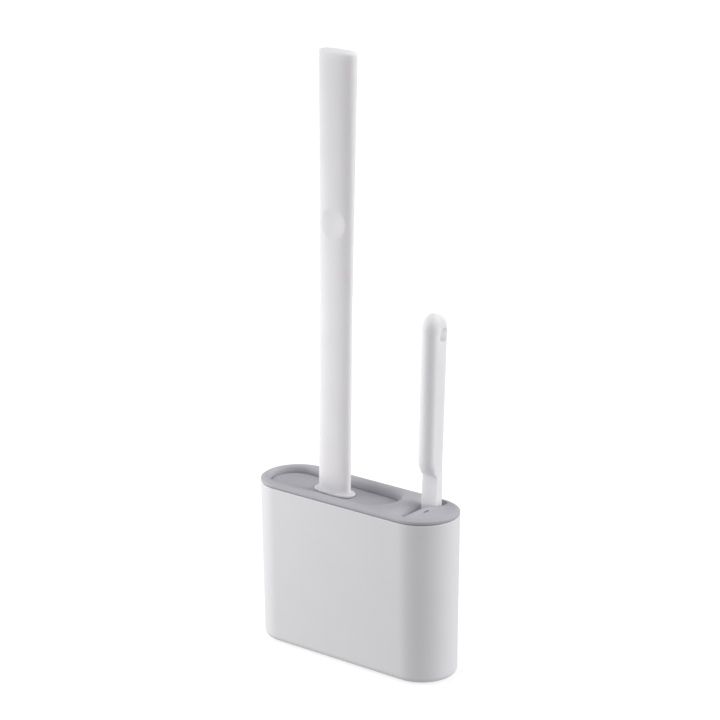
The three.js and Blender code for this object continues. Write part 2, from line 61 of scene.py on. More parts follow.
ROUND_STEPS = 48  # chords in a half circle of a stadium outline
FINE_STEPS = 8  # rings in a small rounding
CUT = 1.0  # how far a cutting body reaches past the face that it opens
SMOOTH_ANGLE = math.radians(28)  # steeper edges than this stay sharp
HANDLE_ANGLE = math.radians(40)
FILAMENT_ANGLE = math.radians(80)
NEARLY = 0.9  # share of a quarter turn at which a rounding stops short of a line

# ---- Holder ----

DRAFT = 0.0135  # sideways growth of the wall per millimetre of height
WALL = 2.0
BASE_ROUND = 4.4  # rounding between the wall and the underside
BASE_THICKNESS = 2.6
FOOT_RIM = 4.5  # width of the ring around the recess in the underside
FOOT_RECESS = 1.0
SHELL_LIP = 0.9  # rounding of the upper edge
DIVIDER = {"left": 42.6, "right": 44.4, "top": 84.0}  # the web between the two bays

# Of a pad: shares are of its radius, the rest is in millimetres.
PAD = {"hole_share": 0.35, "sole_share": 0.93, "edge": 0.35}
PAD_GROOVES = {"shares": (0.7, 0.4), "half_share": 0.05, "depth": 0.3}

# ---- Cover ----

RIM_CROWN = {"inward": 3.6, "drop": 1.8, "slope": 1.5}  # the rim falls off toward its outer edge
RIM_GAP = 0.3  # between the shell's edge and the rim
RIM_EDGE = 0.3  # break of the edge between the rim's side and its crown
RIM_UNDERCUT = 0.7  # rounding of the rim's lower edge
SKIRT_WALL = 1.8  # of the skirt that sits inside the shell
SKIRT_GAP = 0.35
COLLAR_WALL = 1.6  # of the collar under the mouth and of the chute under the slot
COLLAR_SUNK = 0.5
LIP = 1.4  # flat width of the rim outside the dish
LID_GAP = 0.8  # between the long brush's lid and the dish's wall
DISH_FLOOR_DROP = 10.7
DISH_WALL_DROP = 6.1  # height of the rounding between the rim and the dish's upright wall
DISH_FULLNESS = 3.4  # exponent of that rounding's superellipse
DISH_FLOOR_THICKNESS = 1.8
DISH_RIGHT = 37.5
MOUTH = {"length": 102.0, "width": 28.0}  # the opening in the dish's floor
BRIDGE_ROUND = {"across": 7.6, "down": 6.6}  # rounding from the bridge down into the slot
SLOT = {"left": 48.9, "right": 64.6, "front": -22.5, "back": 21.5, "corner": 6.0}
SLOT_SLANT = 0.12  # sideways shift of the slot's left side per millimetre of depth
LEDGE = 1.2  # width of the shelf that the small lid rests on
LEDGE_DROP = 6.2

# ---- Long brush ----

LID_ROUND = 0.8
LID_LOWER_EDGE = 0.4
STEM = {"length": 21.0, "width": 7.6}  # of the part of the handle inside the spine's socket
FOOT = {"length": 33.0, "width": 15.6}  # the flange on the lid
FOOT_HEIGHT = 2.2
FOOT_CLEARANCE = 0.02  # above the lid
FOOT_EDGE = 1.0
FOOT_FILLET = 3.0  # height of the curve between the flange and the grip
GRIP_LOW = {"length": 27.4, "width": 9.4}
GRIP_HIGH = {"length": 30.5, "width": 13.5}
FULLNESS = {"low": 2.3, "high": 2.5}  # exponents of the grip's superellipse sections
FOOT_FULLNESS = 2.7
GRIP_SIDES = 200
GRIP_STEP = {"coarse": 6.0, "fine": 0.5}  # between sections, fine beside the dimple
FLARE_START = 139.0  # height above the lid from which the grip widens
GRIP_ROUND = 1.6  # rounding of the grip's upper edge
GRIP_DOME = 0.7  # rise of its top
GRIP_DOME_SHARES = (0.97, 0.85, 0.7, 0.5, 0.3, 0.1)  # sizes of the top's rings
DIMPLE = {"height": 193.8, "radius": 10.8, "depth": 1.4, "edge": 1.3}
SPINE_EDGE = 1.2
SOCKET = {"length": 30.0, "depth": 26.7, "taper": 2.0, "taper_height": 4.0}
GROOVES = {"heights": (8.0, 14.0, 20.0), "reach": 1.0, "floor": 0.6, "depth": 0.5}  # of the socket
BLADE = {"width": 42.0, "thickness": 3.4, "round": 9.0, "edge": 0.6}
HEAD_THICKNESS = 9.0
HEAD_HEIGHT = 71.0
HEAD_HALF_WIDTH = 36
HEAD_ROUND = {"top": 15.0, "bottom": 30.0}
HEAD_EDGE = 3.2
SPIKE = {"root": 1.35, "length": 7.2, "rim_length": 5.6, "sunk": 0.8, "bend": 0.35, "sides": 10}
SPIKE_FIELD = {"pitch": 6.0, "row_share": 0.87, "margin": 5.0, "half_width": 40, "rim_step": 5}

# Of a spike: shares of its length, and of its root's radius there.
SPIKE_PROFILE = [(0.0, 1.0), (0.35, 0.8), (0.7, 0.6), (0.9, 0.48), (0.97, 0.34), (1.0, 0.12)]

# ---- Small brush ----

SMALL_ABOVE_RIM = 134.5
NECK = {"depth": 6.6, "round": 0.5, "crown": 0.4}
GRIP_SWELL = 1.2  # how far the grip's front comes forward toward its top
NOSE_DEPTH = {"chin": 4.9, "top": 6.2}  # depth of the half oval that the grip's front forms
BACK_EDGE = 1.4  # rounding of the grip's back edges
SIDE_FLAT = 0.05  # what the half oval leaves flat on each side
TOP_SHARE = 0.9  # how far the half oval carries on over the top
TOP_DOME = {"front": 9.0, "height": 8.5, "rise": 1.1, "chords": 40}
WIDENING = {"rim": 0.5, "top": 0.3}  # half of what the handle is wider than its packed box
STEP_HEIGHT = 21.0  # height above the rim at which the neck turns into the grip
CHIN = 5.0  # height of the curve under the grip
CHIN_CURVE = {"forward": 0.8, "up": 0.2, "end": 2.6}  # its shape, in chins
HEEL = {"pull": 2, "rise": 1.6}  # the round lower end of the block
BLOCK_TOP = -52.0  # of the bristle block, from the rim
BLOCK_SETBACK = 1.0
HANG = {"width": 6.6, "height": 9.6, "drop": 13.2, "setback": 3.2, "edge": 0.5}  # the hanging hole
SMALL_LID = {"back": 12.0, "drop": 0.2, "left_gap": 1.5, "left_drop": 5.6, "lift": 0.3}
RAMP = {"width": 2.4, "drop": 0.2, "pull": 2 / 3}  # the small lid's left side
LID_FIT = 0.15  # gap between the small lid and the slot
NECK_CLEARANCE = {"side": 0.4, "front": 0.3}
NECK_ROOM = 20  # how far the room that the neck takes from the lid reaches left and back

# Corners (x, y) of the notch beside the neck.
LID_NOTCH = [(62.2, -1.0), (61.9, -4.0), (63.9, -7.5), (65.0, -7.5), (65.0, -1.0)]

TUFT = {"filaments": 44, "root": 1.25, "tip": 1.9, "shorter": 0.9, "sway": 0.25}
FILAMENT = {"radius": 0.13, "taper": 0.3, "sides": 5, "steps": 5}

# ---- Studio ----

CAMERA_PLACE = (1.2102, -1.4113, 0.7520)  # metres
CAMERA_TURN = {"azimuth": 0.7081, "elevation": 0.2817, "roll": -0.0054}  # radians
SENSOR_WIDTH = 36.0
LENS = 141.73
FLOOR_REACH = 20000.0
FLOOR_GREYS = ((0.39, 0.39, 0.39), (0.41, 0.41, 0.41))
FLOOR_NOISE = 9.0
FLOOR_ROUGHNESS = 0.9
FLOOR_SPECULAR = 0.1
FLOOR_GLOW = 0.68
WORLD_LIGHT = 0.48
AIM_HEIGHT = 0.2  # metres, the point that every light looks at
WALL_DISTANCE = 3.0  # metres
WALL_SPREAD = math.radians(50)

# ---- Places taken from the frame ----


def box_of(node):
    """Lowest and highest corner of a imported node, in millimetres."""
    low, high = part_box(node)
    return low / MM, high / MM


def lean_of(joint_name):
    """Rotation about Y that turns +Z onto a lift's axis."""
    axis = next(j["axis"] for j in frame["joints"] if j["name"] == joint_name)
    return Matrix.Rotation(math.atan2(axis[0], axis[2]), 4, "Y")


def leaned_box(node, lean):
    """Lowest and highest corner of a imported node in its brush's leaning frame, in millimetres."""
    back = lean.inverted()
    points = [back @ v.co / MM for v in frame["nodes"][node].data.vertices]
    low = Vector([min(p[i] for p in points) for i in range(3)])
    high = Vector([max(p[i] for p in points) for i in range(3)])
    return low, high


LONG_LEAN = lean_of("long_brush_lift")
SMALL_LEAN = lean_of("small_brush_lift")

shell_low, shell_high = box_of("holder_shell")
cover_low, cover_high = box_of("top_cover")
RIM = {"length": cover_high.x - cover_low.x, "width": cover_high.y - cover_low.y}
RIM_HEIGHT = cover_high.z
SHELL_TOP = shell_high.z
PAD_STAND = shell_low.z
SKIRT_BOTTOM = cover_low.z

# ---- Mesh tools ----


def quarter_turn(steps, share=1.0):
    """Angles from zero to a share of a right angle, in equal steps."""
    return [step / steps * math.pi / 2 * share for step in range(steps + 1)]


def clamped(value):
    """The value, kept between zero and one."""
    return max(0.0, min(1.0, value))


def grown(size, by):
    """An outline's size with the outline moved outward by a distance."""
    return {"length": size["length"] + 2 * by, "width": size["width"] + 2 * by}


def mixed(a, b, share):
    """A size between two others."""
    return {key: a[key] + (b[key] - a[key]) * share for key in ("length", "width")}


def ring(size, z, x=0.0):
    """Points of a stadium along X, counted from the front of its right end."""
    radius = size["width"] / 2
    reach = size["length"] / 2 - radius
    points = []
    for side in (1, -1):
        for step in range(ROUND_STEPS + 1):
            angle = math.pi * (step / ROUND_STEPS - 0.5)
            if side < 0:
                angle += math.pi
            px = x + side * reach + radius * math.cos(angle)
            points.append(Vector((px, radius * math.sin(angle), z)))
    return points


def power(value, exponent):
    """A signed power."""
    return math.copysign(abs(value) ** exponent, value)


def oval(size, fullness, z, x):
    """Points of a superellipse, counted from its front."""
    points = []
    for step in range(GRIP_SIDES):
        angle = 2 * math.pi * step / GRIP_SIDES - math.pi / 2
        px = x + size["length"] / 2 * power(math.cos(angle), 2 / fullness)
        points.append(Vector((px, size["width"] / 2 * power(math.sin(angle), 2 / fullness), z)))
    return points


def corner_points(centres, steps):
    """Points (x, y) of the quarter circles at a closed outline's corners.

    Each centre is (x, y, radius, start), the start being an angle in half turns.
    """
    points = []
    for x, y, radius, start in centres:
        for step in range(steps + 1):
            angle = math.pi * (start + 0.5 * step / steps)
            points.append((x + radius * math.cos(angle), y + radius * math.sin(angle)))
    return points


def make(name, vertices, faces, matrix=None):
    """A new object from points in millimetres."""
    mesh = bpy.data.meshes.new(name)
    mesh.from_pydata([v * MM for v in vertices], [], faces)
    if matrix is not None:
        mesh.transform(matrix)
    mesh.validate()
    made = bpy.data.objects.new(name, mesh)
    bpy.context.scene.collection.objects.link(made)
    return made


def append_loft(vertices, faces, rings):
    """Adds a closed body through rings of equally many points to a list of points and faces."""
    start = len(vertices)
    count = len(rings[0])
    vertices += [p for points in rings for p in points]
    faces.append(tuple(start + i for i in reversed(range(count))))
    for level in range(len(rings) - 1):
        low = start + level * count
        high = low + count
        for i in range(count):
            j = (i + 1) % count
            faces.append((low + i, low + j, high + j, high + i))
    top = start + (len(rings) - 1) * count
    faces.append(tuple(range(top, top + count)))


def loft(name, rings, matrix=None):
    """A closed body through rings of equally many points, with flat ends."""
    vertices, faces = [], []
    append_loft(vertices, faces, rings)
    return facing_out(make(name, vertices, faces, matrix))


def facing_out(piece):
    """Turns a closed body's faces so that they look outward."""
    mesh = bmesh.new()
    mesh.from_mesh(piece.data)
    if mesh.calc_volume(signed=True) < 0:
        bmesh.ops.reverse_faces(mesh, faces=mesh.faces)
        mesh.to_mesh(piece.data)
    mesh.free()
    return piece


def joined(target, tool, operation):
    """Applies a boolean of the tool to the target, and removes the tool."""
    modifier = target.modifiers.new("boolean", "BOOLEAN")
    modifier.operation = operation
    modifier.object = tool
    modifier.solver = "EXACT"
    graph = bpy.context.evaluated_depsgraph_get()
    mesh = bpy.data.meshes.new_from_object(target.evaluated_get(graph))
    target.modifiers.clear()
    target.data = mesh
    bpy.data.objects.remove(tool)
    return target


def cut(target, tool):
    """The target without what the tool takes up."""
    return joined(target, tool, "DIFFERENCE")


def add(target, tool):
    """The target and the tool as one body."""
    return joined(target, tool, "UNION")


def common(target, tool):
    """What the target and the tool both take up."""
    return joined(target, tool, "INTERSECT")


def merge(target, other):
    """Adds another object's mesh to the target's, and removes the other."""
    both = bmesh.new()
    both.from_mesh(target.data)
    both.from_mesh(other.data)
    both.to_mesh(target.data)
    both.free()
    bpy.data.objects.remove(other)


def smooth(piece, angle=SMOOTH_ANGLE):
    """Smooth shading with sharp edges kept, weighted toward the larger faces."""
    for polygon in piece.data.polygons:
        polygon.use_smooth = True
    piece.data.set_sharp_from_angle(angle=angle)
    modifier = piece.modifiers.new("weighted_normal", "WEIGHTED_NORMAL")
    modifier.keep_sharp = True
    modifier.weight = 80
    return piece


def finished(piece, body, nodes, slot_name, material, angle=SMOOTH_ANGLE):
    """Gives a piece its material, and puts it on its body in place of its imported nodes."""
    smooth(piece, angle)
    piece.data.materials.clear()
    piece.data.materials.append(material)
    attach(piece, body)
    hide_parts(*nodes)
    return piece


# ---- Materials ----

NOISE_RANGE = (0.3, 0.7)  # the part of a noise pattern's range that is spread out
SATIN = (0.5, 0.6)  # lowest and highest roughness
MOTTLING_SCALE, SHEEN_SCALE = 38.0, 95.0
WAVES = {"scale": 26.0, "detail": 1.0, "distance": 0.0004, "strength": 0.12}
GRAIN = {"detail": 2.0, "distance": 0.00004, "strength": 0.35}
PLASTIC_IOR = 1.48


class Shader:
    """A material's node tree with short calls to add and link nodes."""

    def __init__(self, name):
        self.material = bpy.data.materials.new(name)
        self.material.use_nodes = True
        self.tree = self.material.node_tree
        self.shader = self.tree.nodes["Principled BSDF"]
        coordinates = self.tree.nodes.new("ShaderNodeTexCoord")
        self.place = coordinates.outputs["Object"]

    def link(self, source, node, socket):
        """Links an output to a node's named input."""
        self.tree.links.new(source, node.inputs[socket])

    def noise(self, scale, detail=3.0):
        """A grey noise pattern in the object's own coordinates."""
        node = self.tree.nodes.new("ShaderNodeTexNoise")
        node.inputs["Scale"].default_value = scale
        node.inputs["Detail"].default_value = detail
        self.link(self.place, node, "Vector")
        return node.outputs["Fac"]

    def ramp(self, source, low, high):
        """Spreads a grey pattern between two colours."""
        node = self.tree.nodes.new("ShaderNodeValToRGB")
        for element, position, colour in zip(node.color_ramp.elements, NOISE_RANGE, (low, high)):
            element.position = position
            element.color = (*colour, 1)
        self.link(source, node, "Fac")
        return node.outputs["Color"]

    def spread(self, source, low, high):
        """Spreads a grey pattern between two numbers."""
        node = self.tree.nodes.new("ShaderNodeMapRange")
        node.inputs["From Min"].default_value = NOISE_RANGE[0]
        node.inputs["From Max"].default_value = NOISE_RANGE[1]
        node.inputs["To Min"].default_value = low
        node.inputs["To Max"].default_value = high
        self.link(source, node, "Value")
        return node.outputs["Result"]

    def bump(self, source, distance, strength, normal=None):
        """A bump from a grey pattern, on top of another one if given."""
        node = self.tree.nodes.new("ShaderNodeBump")
        node.inputs["Distance"].default_value = distance
        node.inputs["Strength"].default_value = strength
        self.link(source, node, "Height")
        if normal is not None:
            self.link(normal, node, "Normal")
        return node.outputs["Normal"]


def moulded_plastic(name, colour, roughness, variation, grain):
    """Moulded plastic: faint mottling, uneven sheen, a fine mould grain and slow waviness."""
    made = Shader(name)
    low = tuple(c * (1 - variation) for c in colour)
    high = tuple(min(1.0, c * (1 + variation)) for c in colour)
    made.link(made.ramp(made.noise(MOTTLING_SCALE), low, high), made.shader, "Base Color")
    made.link(made.spread(made.noise(SHEEN_SCALE), *roughness), made.shader, "Roughness")
    waviness = made.noise(WAVES["scale"], WAVES["detail"])
    waves = made.bump(waviness, WAVES["distance"], WAVES["strength"])
    graininess = made.noise(grain, GRAIN["detail"])
    fine = made.bump(graininess, GRAIN["distance"], GRAIN["strength"], waves)
    made.link(fine, made.shader, "Normal")
    made.shader.inputs["IOR"].default_value = PLASTIC_IOR
    return made.material


def let_light_in(material, reach):
    """Makes a plastic translucent: light spreads through it by about a reach in metres."""
    shader = material.node_tree.nodes["Principled BSDF"]
    shader.inputs["Subsurface Weight"].default_value = 1.0
    shader.inputs["Subsurface Radius"].default_value = (1, 1, 1)
    shader.inputs["Subsurface Scale"].default_value = reach


def white(name, colour):
    """A white satin plastic."""
    return moulded_plastic(name, colour, SATIN, variation=0.008, grain=1900.0)


def grey(name, colour):
    """A grey satin plastic."""
    return moulded_plastic(name, colour, SATIN, variation=0.02, grain=1700.0)


white_plastic = white("white_plastic", (0.78, 0.775, 0.80))
grip_plastic = white("grip_plastic", (0.81, 0.80, 0.815))
let_light_in(grip_plastic, reach=0.008)
small_grip_plastic = white("small_grip_plastic", (0.855, 0.845, 0.86))
let_light_in(small_grip_plastic, reach=0.004)
grey_plastic = grey("grey_plastic", (0.465, 0.462, 0.50))
# Darker copy of the cover's grey: painted shade for the long lid sunk in the dish and shaded by the handle.
painted_shade_lid_grey = grey("painted_shade_lid_grey", (0.41, 0.405, 0.44))
# Lighter copy of the cover's grey: a painted highlight for the light that falls on the small lid's sloped left
# edge.
painted_highlight_small_lid_grey = grey("painted_highlight_small_lid_grey", (0.495, 0.49, 0.535))
soft_rubber = moulded_plastic("soft_rubber", (0.27, 0.27, 0.30), (0.55, 0.7), 0.03, 1200.0)
pad_rubber = moulded_plastic("pad_rubber", (0.48, 0.48, 0.5), (0.6, 0.75), 0.03, 1200.0)
bristle_nylon = moulded_plastic("bristle_nylon", (0.84, 0.83, 0.81), (0.3, 0.42), 0.02, 900.0)

# ---- Holder ----


def outer_size(z):
    """Outline of the shell's outside at a height."""
    return grown(RIM, -DRAFT * (RIM_HEIGHT - z))


def inner_size(z):
    """Outline of the shell's inside at a height."""
    return grown(outer_size(z), -WALL)


def round_bottom(low, radius, size_at):
    """Rings of a round bottom edge that turns into the drafted wall above it."""
    rings = []
    for angle in quarter_turn(FINE_STEPS):
        z = low + radius * (1 - math.cos(angle))
        rings.append(ring(grown(size_at(z), -radius * (1 - math.sin(angle))), z))
    return rings


def build_shell():
    """The drafted shell with its recessed foot, its rounded lip and the divider inside."""
    floor = PAD_STAND + BASE_THICKNESS
    foot = grown(outer_size(PAD_STAND), -BASE_ROUND - FOOT_RIM)
    rings = [ring(foot, PAD_STAND + FOOT_RECESS), ring(foot, PAD_STAND)]
    rings += round_bottom(PAD_STAND, BASE_ROUND, outer_size)
    half = SHELL_LIP / 2
    for angle in quarter_turn(FINE_STEPS):
        z = SHELL_TOP - SHELL_LIP * (1 - math.sin(angle))
        rings.append(ring(grown(outer_size(z), -SHELL_LIP * (1 - math.cos(angle))), z))
    rings.append(ring(grown(inner_size(SHELL_TOP), half), SHELL_TOP))
    rings.append(ring(inner_size(SHELL_TOP - half), SHELL_TOP - half))
    rings += reversed(round_bottom(floor, BASE_ROUND - WALL, inner_size))
    shell = loft("holder_shell_skin", rings)
    return add(shell, build_divider(floor))


def build_divider(floor):
    """The web between the two bays, its ends sunk into the walls."""
    middle = (DIVIDER["left"] + DIVIDER["right"]) / 2
    half = (DIVIDER["right"] - DIVIDER["left"]) / 2
    levels = [(floor - CUT, half), (DIVIDER["top"] - half, half)]
    for angle in quarter_turn(FINE_STEPS, NEARLY)[1:]:
        levels.append((DIVIDER["top"] - half * (1 - math.sin(angle)), half * math.cos(angle)))
    rings = []
    for z, reach in levels:
        side = (inner_size(z)["width"] + WALL) / 2
        corners = [(-reach, -side), (reach, -side), (reach, side), (-reach, side)]
        rings.append([Vector((middle + dx, y, z)) for dx, y in corners])
    return loft("divider", rings)


finished(build_shell(), "holder", ["holder_shell"], "white_plastic", white_plastic)


def build_pad(node):
    """A soft disc with round edges and two grip grooves in its sole."""
    low, high = box_of(node)
    centre = (low + high) / 2
    radius = (high.x - low.x) / 2
    profile = [(PAD["hole_share"], high.z), (1.0, high.z)]
    profile += [(1.0, low.z + PAD["edge"]), (PAD["sole_share"], low.z)]
    half, depth = PAD_GROOVES["half_share"], PAD_GROOVES["depth"]
    for groove in PAD_GROOVES["shares"]:
        profile += [(groove + half, low.z), (groove, low.z + depth), (groove - half, low.z)]
    rings = []
    for share, z in profile:
        round_size = {"length": 2 * radius * share, "width": 2 * radius * share}
        rings.append([p + Vector((0, centre.y, 0)) for p in ring(round_size, z, centre.x)])
    return loft(node.replace("pad", "pad_disc"), rings)


for pad_node in frame["record"]["behaviour"]["bodies"]["holder"]:
    if pad_node != "holder_shell":
        finished(build_pad(pad_node), "holder", [pad_node], "pad_rubber", pad_rubber)

# ---- Cover ----

lid_low, lid_high = leaned_box("long_brush_lid", LONG_LEAN)
LID = {"length": lid_high.x - lid_low.x, "width": lid_high.y - lid_low.y}
LID_X = sum(box.x for box in box_of("long_brush_lid")) / 2
DISH_FOOT = RIM_HEIGHT - DISH_WALL_DROP


def dish_rings():
    """The dish is widest at the rim and rounds over into an upright wall that follows the lid."""
    low = grown(LID, LID_GAP)
    rim_left = cover_low.x + LIP
    high = {"length": DISH_RIGHT - rim_left, "width": RIM["width"] - 2 * LIP}
    high_x = (rim_left + DISH_RIGHT) / 2
    rings = [ring(low, RIM_HEIGHT - DISH_FLOOR_DROP, LID_X)]
    for angle in quarter_turn(4 * FINE_STEPS):
        share = 1 - math.cos(angle) ** (2 / DISH_FULLNESS)
        z = DISH_FOOT + DISH_WALL_DROP * math.sin(angle) ** (2 / DISH_FULLNESS)
        rings.append(ring(mixed(low, high, share), z, LID_X + (high_x - LID_X) * share))
    rings.append(ring(high, RIM_HEIGHT + CUT, high_x))
    return rings


def slanted(x, y):
    """Leans the slot's left side off square, fading out toward its right side."""
    share = (SLOT["right"] - x) / (SLOT["right"] - SLOT["left"])
    return x - SLOT_SLANT * y * clamped(share)


def plan_ring(z, by=0.0, right=None, front=None):
    """Points of the slot's plan, a slanted rectangle with round corners, moved outward by some."""
    left = SLOT["left"] - by
    right = SLOT["right"] + by if right is None else right
    front = SLOT["front"] - by if front is None else front
    back = SLOT["back"] + by
    corner = SLOT["corner"] + by
    centres = [
        (right - corner, front + corner, corner, -0.5),
        (right - corner, back - corner, corner, 0.0),
        (left + corner, back - corner, corner, 0.5),
        (left + corner, front + corner, corner, 1.0),
    ]
    plan = corner_points(centres, ROUND_STEPS // 4)
    return [Vector((slanted(x, y), y, z)) for x, y in plan]


def bridge_rounding():
    """What is taken away so that the bridge rounds down into the slot."""
    centre_x = SLOT["left"] - BRIDGE_ROUND["across"]
    centre_z = RIM_HEIGHT - BRIDGE_ROUND["down"]
    outline = [(SLOT["left"] + CUT, centre_z)]
    for angle in quarter_turn(2 * FINE_STEPS):
        x = centre_x + BRIDGE_ROUND["across"] * math.cos(angle)
        outline.append((x, centre_z + BRIDGE_ROUND["down"] * math.sin(angle)))
    outline += [(centre_x, RIM_HEIGHT + CUT), (SLOT["left"] + CUT, RIM_HEIGHT + CUT)]
    ends = (SLOT["front"], SLOT["back"])
    return [[Vector((slanted(x, y), y, z)) for x, z in outline] for y in ends]


def crowned_rim(low):
    """The flange that lies on the shell's edge, as high as the cover, its top still closed."""
    face_top = RIM_HEIGHT - RIM_CROWN["drop"]
    rings = [ring(grown(RIM, -RIM_UNDERCUT), low), ring(RIM, low + RIM_UNDERCUT)]
    rings.append(ring(RIM, face_top - RIM_EDGE))
    slope = RIM_CROWN["slope"]
    for step in range(2 * FINE_STEPS + 1):
        share = step / (2 * FINE_STEPS)
        by = RIM_EDGE / 2 + (RIM_CROWN["inward"] - RIM_EDGE / 2) * share
        rise = RIM_CROWN["drop"] * share * (slope - (slope - 1) * share)
        rings.append(ring(grown(RIM, -by), face_top + rise))
    return loft("top_cover_skin", rings)


def build_cover():
    """The cover: solid parts first, then the dish, the mouth and the slot are cut from them."""
    rim_low = SHELL_TOP + RIM_GAP
    flange = crowned_rim(rim_low)
    skirt_size = grown(inner_size(SKIRT_BOTTOM), -SKIRT_GAP)
    inside = grown(skirt_size, -SKIRT_WALL)
    middle = (rim_low + RIM_HEIGHT) / 2
    skirt = loft("skirt", [ring(skirt_size, SKIRT_BOTTOM), ring(skirt_size, rim_low + CUT)])
    hollow = loft("hollow", [ring(inside, SKIRT_BOTTOM - CUT), ring(inside, rim_low)])
    cover = add(flange, cut(skirt, hollow))
    bowl_size = grown(LID, LID_GAP + COLLAR_WALL)
    floor = RIM_HEIGHT - DISH_FLOOR_DROP
    bowl_low = floor - DISH_FLOOR_THICKNESS
    cover = add(cover, loft("bowl", [ring(bowl_size, z, LID_X) for z in (bowl_low, middle)]))
    collar = grown(MOUTH, COLLAR_WALL)
    levels = (SKIRT_BOTTOM, floor - COLLAR_SUNK)
    cover = add(cover, loft("collar", [ring(collar, z, LID_X) for z in levels]))
    chute = loft("chute", [plan_ring(z, COLLAR_WALL) for z in (SKIRT_BOTTOM, middle)])
    inner_skirt = loft("inner", [ring(skirt_size, z) for z in (SKIRT_BOTTOM - CUT, RIM_HEIGHT)])
    cover = add(cover, common(chute, inner_skirt))
    cover = cut(cover, loft("dish", dish_rings()))
    mouth_levels = (SKIRT_BOTTOM - CUT, floor + CUT)
    cover = cut(cover, loft("mouth", [ring(MOUTH, z, LID_X) for z in mouth_levels]))
    ledge_top = RIM_HEIGHT - LEDGE_DROP
    cover = cut(cover, loft("slot_top", [plan_ring(z) for z in (ledge_top, RIM_HEIGHT + CUT)]))
    shelf = {"right": SLOT["right"] - LEDGE, "front": SLOT["front"] + LEDGE}
    levels = (SKIRT_BOTTOM - CUT, ledge_top + CUT)
    cover = cut(cover, loft("slot_through", [plan_ring(z, **shelf) for z in levels]))
    return cut(cover, loft("rounding", bridge_rounding()))


finished(build_cover(), "cover", ["top_cover"], "grey_plastic", grey_plastic)

# ---- Long brush ----

grip_low, grip_high = leaned_box("long_brush_handle", LONG_LEAN)
LONG_X = (lid_low.x + lid_high.x) / 2
LID_TOP = lid_high.z


def rounded_top(top, radius, size, x):
    """Rings of a rounded upper edge whose flat top is at the given height."""
    rings = []
    for angle in quarter_turn(FINE_STEPS):
        z = top - radius * (1 - math.sin(angle))
        rings.append(ring(grown(size, -radius * (1 - math.cos(angle))), z, x))
    return rings


def build_long_lid():
    """The plate that closes the cover's mouth."""
    bottom, edge = lid_low.z, LID_LOWER_EDGE
    rings = [ring(grown(LID, -edge), bottom, LONG_X), ring(LID, bottom + edge, LONG_X)]
    rings += rounded_top(LID_TOP, LID_ROUND, LID, LONG_X)
    return loft("long_brush_lid_plate", rings, LONG_LEAN)


# The long lid gets the darker grey with the painted shade.
finished(build_long_lid(), "long_brush", ["long_brush_lid"], "grey_plastic", painted_shade_lid_grey)


def flare_share(height):
    """How far a height above the lid is up the flared part of the grip."""
    return max(0.0, height - FLARE_START) / (grip_high.z - LID_TOP - FLARE_START)


def grip_size(height):
    """Outline of the grip at a height above the lid."""
    return mixed(GRIP_LOW, GRIP_HIGH, flare_share(height))


def dimpled(point):
    """Presses the thumb dimple into a point of the grip's front face."""
    height = point.z - LID_TOP - DIMPLE["height"]
    distance = math.hypot(point.x - LONG_X, height)
    if point.y > 0 or distance > DIMPLE["radius"]:
        return point
    share = 1 - (distance / DIMPLE["radius"]) ** 2
    edge = min(1.0, (DIMPLE["radius"] - distance) / DIMPLE["edge"])
    depth = DIMPLE["depth"] * share * edge * (2 - edge)
    return point + Vector((0, depth, 0))


def fullness_at(height):
    """Exponent of the grip's superellipse section at a height above the lid."""
    return FULLNESS["low"] + (FULLNESS["high"] - FULLNESS["low"]) * flare_share(height)


def foot_sections():
    """Size, height and fullness of the flange on the lid and of the fillet into the grip."""
    foot_low = LID_TOP + FOOT_CLEARANCE
    foot_top = foot_low + FOOT_HEIGHT
    sections = [(STEM, grip_low.z, FOOT_FULLNESS), (STEM, foot_low, FOOT_FULLNESS)]
    for step in range(2 * FINE_STEPS + 1):
        angle = step / (2 * FINE_STEPS) * math.pi
        z = foot_low + FOOT_HEIGHT / 2 * (1 - math.cos(angle))
        sections.append((grown(FOOT, -FOOT_EDGE * (1 - math.sin(angle))), z, FOOT_FULLNESS))
    for angle in quarter_turn(2 * FINE_STEPS)[1:]:
        share = math.sin(angle)
        size = mixed(grown(FOOT, -FOOT_EDGE), GRIP_LOW, share)
        fullness = FOOT_FULLNESS + (FULLNESS["low"] - FOOT_FULLNESS) * share
        sections.append((size, foot_top + FOOT_FILLET * (1 - math.cos(angle)), fullness))
    return sections


def top_rings(end):
    """The grip's rounded upper edge and its slightly domed top."""
    top = grip_size(end)
    fullness = fullness_at(end)
    edge = grip_high.z - GRIP_DOME
    rings = []
    for angle in quarter_turn(FINE_STEPS, NEARLY):
        size = grown(top, -GRIP_ROUND * (1 - math.cos(angle)))
        rings.append(oval(size, fullness, edge - GRIP_ROUND * (1 - math.sin(angle)), LONG_X))
    flat = grown(top, -GRIP_ROUND)
    for share in GRIP_DOME_SHARES:
        size = {key: value * share for key, value in flat.items()}
        rings.append(oval(size, fullness, grip_high.z - GRIP_DOME * share * share, LONG_X))
    return rings


def build_grip():
    """The long brush's handle, with sections closer together around the dimple."""
    sections = foot_sections()
    height = sections[-1][1] - LID_TOP
    end = grip_high.z - LID_TOP - GRIP_ROUND - GRIP_DOME
    coarse, fine = GRIP_STEP["coarse"], GRIP_STEP["fine"]
    while height < end - fine:
        near = abs(height + coarse / 2 - DIMPLE["height"]) < DIMPLE["radius"] + coarse
        height += fine if near else coarse
        if height < end - fine:
            sections.append((grip_size(height), LID_TOP + height, fullness_at(height)))
    rings = [oval(size, fullness, z, LONG_X) for size, z, fullness in sections]
    rings = [[dimpled(p) for p in points] for points in rings + top_rings(end)]
    return loft("long_brush_grip", rings, LONG_LEAN)


grip = build_grip()
finished(grip, "long_brush", ["long_brush_handle"], "white_plastic", grip_plastic, HANDLE_ANGLE)


